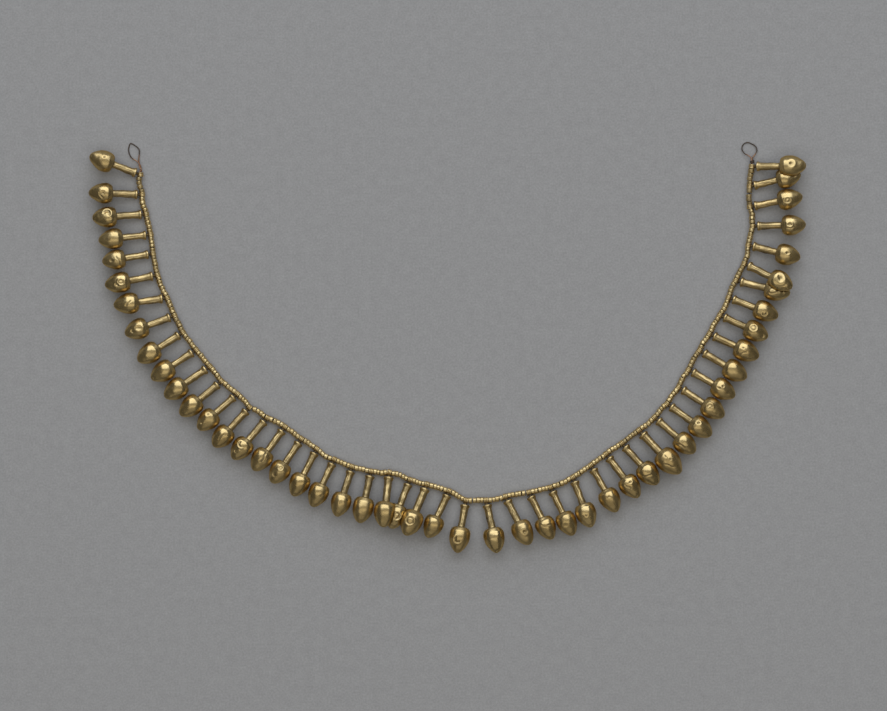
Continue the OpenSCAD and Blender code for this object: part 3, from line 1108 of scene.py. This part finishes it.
def add_bead(shape, centre, direction, length, film, rng):
    """One ring bead, a little askew, with painted shade at its ends round its hole, where beads meet, and
    its tarnish.
    """
    radius = BEAD_R * rng.uniform(*BEAD_WIDTHS)
    outline = [(-BEAD_BORE_EDGE * length, BEAD_BORE_R)]
    outline += [(a * length, radius + rise) for a, rise in BEAD_ROUND]
    outline += [(BEAD_BORE_EDGE * length, BEAD_BORE_R)]
    lean = unit(direction + BEAD_LEAN * rng.normal(size=3))
    points, faces = turned_ring(centre, lean, outline, BEAD_SEGMENTS)
    # Painted shade at the bead's ends where beads meet, or its tarnish, whichever is darker
    dirt = np.maximum(np.repeat(BEAD_END_SHADE, BEAD_SEGMENTS), film * rng.uniform(*BEAD_FILMS))
    shape.add(points, faces, dirt, rng.uniform(0, 1), rng.uniform(0.0, BEAD_DULL))


def open_space(start, direction, reach):
    """Place and width of the dark open space that the photo shows on a length of string, or zeros."""
    found = (0.0, 0.0)
    for px, py, width in STRING_GAPS:
        offset = np.array([*from_photo(px, py), STRING_Z]) - start
        along = offset @ direction
        if 0 < along < reach and np.linalg.norm(offset - along * direction) < GAP_REACH:
            found = (along, width)
    return found


def bead_places(start, direction, reach, rng):
    """Distance from the eye and length of each bead on the string between two eyes."""
    room = reach - EYE_WIDTH - 2 * BEAD_EYE_SPACE
    count = max(FEWEST_BEADS, int(round(room / BEAD_PITCH)))
    lengths = rng.uniform(*BEAD_LENGTHS, count)
    opening, spare = open_space(start, direction, reach)
    lengths *= (room - spare) / lengths.sum()
    places, at, passed = [], EYE_WIDTH / 2 + BEAD_EYE_SPACE, not opening
    for length in lengths:
        if not passed and at + length > opening:
            at += spare
            passed = True
        places.append((at + length / 2, length - BEAD_SPACE))
        at += length
    return places


def bow_offset(i, fraction):
    """Offset of the string to the side at a fraction of its way to the next eye."""
    for number, offset, place in BOWS:
        if number == i + 1:
            hump = math.exp(-(((fraction - place) / BOW_WIDTH) ** 2))
            return offset * hump * math.sin(math.pi * fraction) ** BOW_ENDS
    return 0.0


def add_beads_between(shape, i, rng):
    """Beads from one pendant's eye to the next. Returns their middles."""
    start, end = eye(i), eye(i + 1)
    direction, reach = unit(end - start), np.linalg.norm(end - start)
    across = np.array([-direction[1], direction[0], 0.0])
    places = bead_places(start, direction, reach, rng)
    centres = []
    for distance, _ in places:
        sideways = bow_offset(i, distance / reach) + rng.uniform(-BEAD_STRAY, BEAD_STRAY)
        lift = np.array([0, 0, rng.uniform(-BEAD_LIFT, BEAD_LIFT)])
        centres.append(start + distance * direction + across * sideways + lift)
    film = dict(TARNISHED).get(i + 1, CLEAN_FILM)
    stops = [start, *centres, end]
    for k, (_, length) in enumerate(places):
        add_bead(shape, centres[k], unit(stops[k + 2] - stops[k]), length, film, rng)
    return centres


string_course = []
for name, first, end, node in (
    ("ring_beads_left", 0, 24, "beads_left"),
    ("ring_beads_right", 24, 49, "beads_right"),
):
    shape = Shape()
    for i in range(first, end):
        string_course.append(eye(i))
        string_course += add_beads_between(shape, i, np.random.default_rng(STRING_SEED + i))
    shape.build(name, bead_gold, node)
string_course.append(eye(len(PENDANTS) - 1))

# Wires


def add_wire(shape, path, radius, grime, sides):
    """Round wire along a path."""
    rings = []
    for i, point in enumerate(path):
        side, top = square_to(direction_at(path, i))
        rings.append(point + radius * circle(side, top, even_turn(sides)))
    grime = np.repeat(np.broadcast_to(grime, len(path)), sides)
    shape.add(np.concatenate(rings), tube_faces(len(path), sides), grime, 0.5)


def strand(path, turns, end_angle):
    """Strand that winds round a path and ends at an angle in degrees."""
    points = []
    for i, point in enumerate(path):
        side, top = square_to(direction_at(path, i))
        a = math.radians(end_angle) + TAU * turns * (i / (len(path) - 1) - 1)
        points.append(point + TWIST_R * (math.cos(a) * side + math.sin(a) * top))
    return np.array(points)


def add_wrap(shape, start, outward, middle):
    """Coil of dark wire round a shank with this middle line."""
    along = unit(middle[-1] - middle[0])
    side, top = square_to(along)
    turn = np.linspace(0, TAU * WRAP_TURNS, WRAP_STEPS)
    coil = start + outward * WRAP_START + (turn / TAU * WRAP_PITCH)[:, None] * along
    coil = coil + WRAP_R * circle(side, top, turn)
    coil[:, 2] += middle[0][2] - STRING_Z
    add_wire(shape, coil, WRAP_WIRE_R, WIRE_DIRT, FINE_WIRE_SIDES)


def end_loop(name, end_eye, next_eye, shank, loop, turns, node, wrapped):
    """Twisted shank and open loop of one wire that runs out and back, dirty away from the shank."""
    start = eye(end_eye)
    outward = unit(start - eye(next_eye))
    middle = spline([start + outward * (EYE_WIDTH / 2 + SHANK_LEAD), *shank], SHANK_STEPS)
    way_out, way_back = strand(middle, turns, 0), strand(middle, turns, 180)
    bend = spline(loop, LOOP_STEPS)
    path = np.concatenate([[start + outward * WIRE_JOINT_GAP], way_out, bend, way_back[::-1]])
    course = path.copy()
    course[1:-1] = (path[:-2] + 2 * path[1:-1] + path[2:]) / 4
    shank_end = np.array(shank[-1])
    away = np.linalg.norm(course[:, :2] - shank_end[:2], axis=1)
    loop_dirt = smooth(away, *LOOP_DIRT_RISE) * LOOP_DIRT
    grime = np.where(course[:, 1] > shank_end[1], loop_dirt, SHANK_DIRT)
    shape = Shape()
    add_wire(shape, course, WIRE_R, grime, WIRE_SIDES)
    if wrapped:
        add_wrap(shape, start, outward, middle)
    shape.build(name, copper_wire, node)


end_loop("wire_loop_left", 0, 1, LEFT_SHANK, LEFT_LOOP, LEFT_TWIST, "end_loop_left", wrapped=False)
end_loop("wire_loop_right", 49, 48, RIGHT_SHANK, RIGHT_LOOP, RIGHT_TWIST, "end_loop_right", wrapped=True)

thread = Shape()
add_wire(thread, string_course, WIRE_R, WIRE_DIRT, FINE_WIRE_SIDES)
thread.build("string_wire", copper_wire, "stringing_wire")

# Floor

paper, tree, shader = new_material("paper")
place = add_node(tree, "ShaderNodeTexCoord").outputs["Object"]
mottle = times(tree, noise(tree, place, *PAPER_CLOUDS), 0.4)
mottle = added(tree, mottle, noise(tree, place, *PAPER_FIBRES))
shade = mixed(tree, ranged(tree, mottle, 0.45, 0.95), PAPER_DARK, PAPER_LIGHT)
tree.links.new(shade, shader.inputs["Base Color"])
shader.inputs["Roughness"].default_value = PAPER_ROUGHNESS
shader.inputs["Specular IOR Level"].default_value = PAPER_SPECULAR
bpy.ops.mesh.primitive_plane_add(size=FLOOR_SIZE, location=(0, 0, 0))
floor = bpy.context.object
floor.name = "floor"
floor.data.materials.append(paper)

# Light

ROOM_LIGHT = 0.08
MAIN_COLOUR = (0.93, 1.0, 1.14)
WARM_COLOUR = (1.0, 0.98, 0.93)

# Soft panels. Columns: name, angle in degrees from straight up towards +Y, distance, width and
# height in metres, radiance, colour, whether the gold mirrors it
PANELS = (
    ("main_softbox", 34.5, 2.0, 3.2, 1.22, 1.35, MAIN_COLOUR, True),
    ("main_softbox_low", 63.0, 2.0, 2.7, 0.8, 1.75, MAIN_COLOUR, True),
    ("second_softbox", -22.0, 2.2, 3.1, 1.0, 0.6, WARM_COLOUR, True),
    ("ceiling", 2.5, 2.6, 5.0, 0.9, 0.25, WARM_COLOUR, True),
    ("front_wall", -52.0, 2.2, 2.4, 1.3, 0.16, WARM_COLOUR, True),
    ("overhead_fill", 0.0, 1.6, 3.6, 3.6, 0.45, (1.0, 1.0, 1.0), False),
)

world = bpy.context.scene.world or bpy.data.worlds.new("studio")
bpy.context.scene.world = world
world.use_nodes = True
room = world.node_tree.nodes["Background"]
room.inputs["Color"].default_value = (1, 1, 1, 1)
room.inputs["Strength"].default_value = ROOM_LIGHT


def panel(name, angle, distance, width, height, radiance, colour, mirrored):
    """Soft panel that faces the necklace."""
    angle = math.radians(angle)
    data = bpy.data.lights.new(name, "AREA")
    data.shape = "RECTANGLE"
    data.size, data.size_y = width, height
    data.energy = radiance * math.pi * width * height
    data.color = colour
    lamp = bpy.data.objects.new(name, data)
    bpy.context.scene.collection.objects.link(lamp)
    place = Vector((0.0, distance * math.sin(angle), distance * math.cos(angle)))
    lamp.location = place
    lamp.rotation_euler = (Vector() - place).to_track_quat("-Z", "Y").to_euler()
    lamp.visible_camera = False
    lamp.visible_glossy = mirrored


for row in PANELS:
    panel(*row)

# Camera, straight above the middle of the photograph

CAMERA_HEIGHT = 2.0
CAMERA_LENS = 202.5
CAMERA_SENSOR = 36.0

x, y = from_photo(PHOTO_SIZE[0] / 2, PHOTO_SIZE[1] / 2)
camera_data = bpy.data.cameras.new("camera")
camera_data.lens = CAMERA_LENS
camera_data.sensor_width = CAMERA_SENSOR
camera = bpy.data.objects.new("camera", camera_data)
bpy.context.scene.collection.objects.link(camera)
camera.location = (x * MM, y * MM, CAMERA_HEIGHT)
bpy.context.scene.camera = camera
bpy.context.scene.view_settings.view_transform = "Standard"
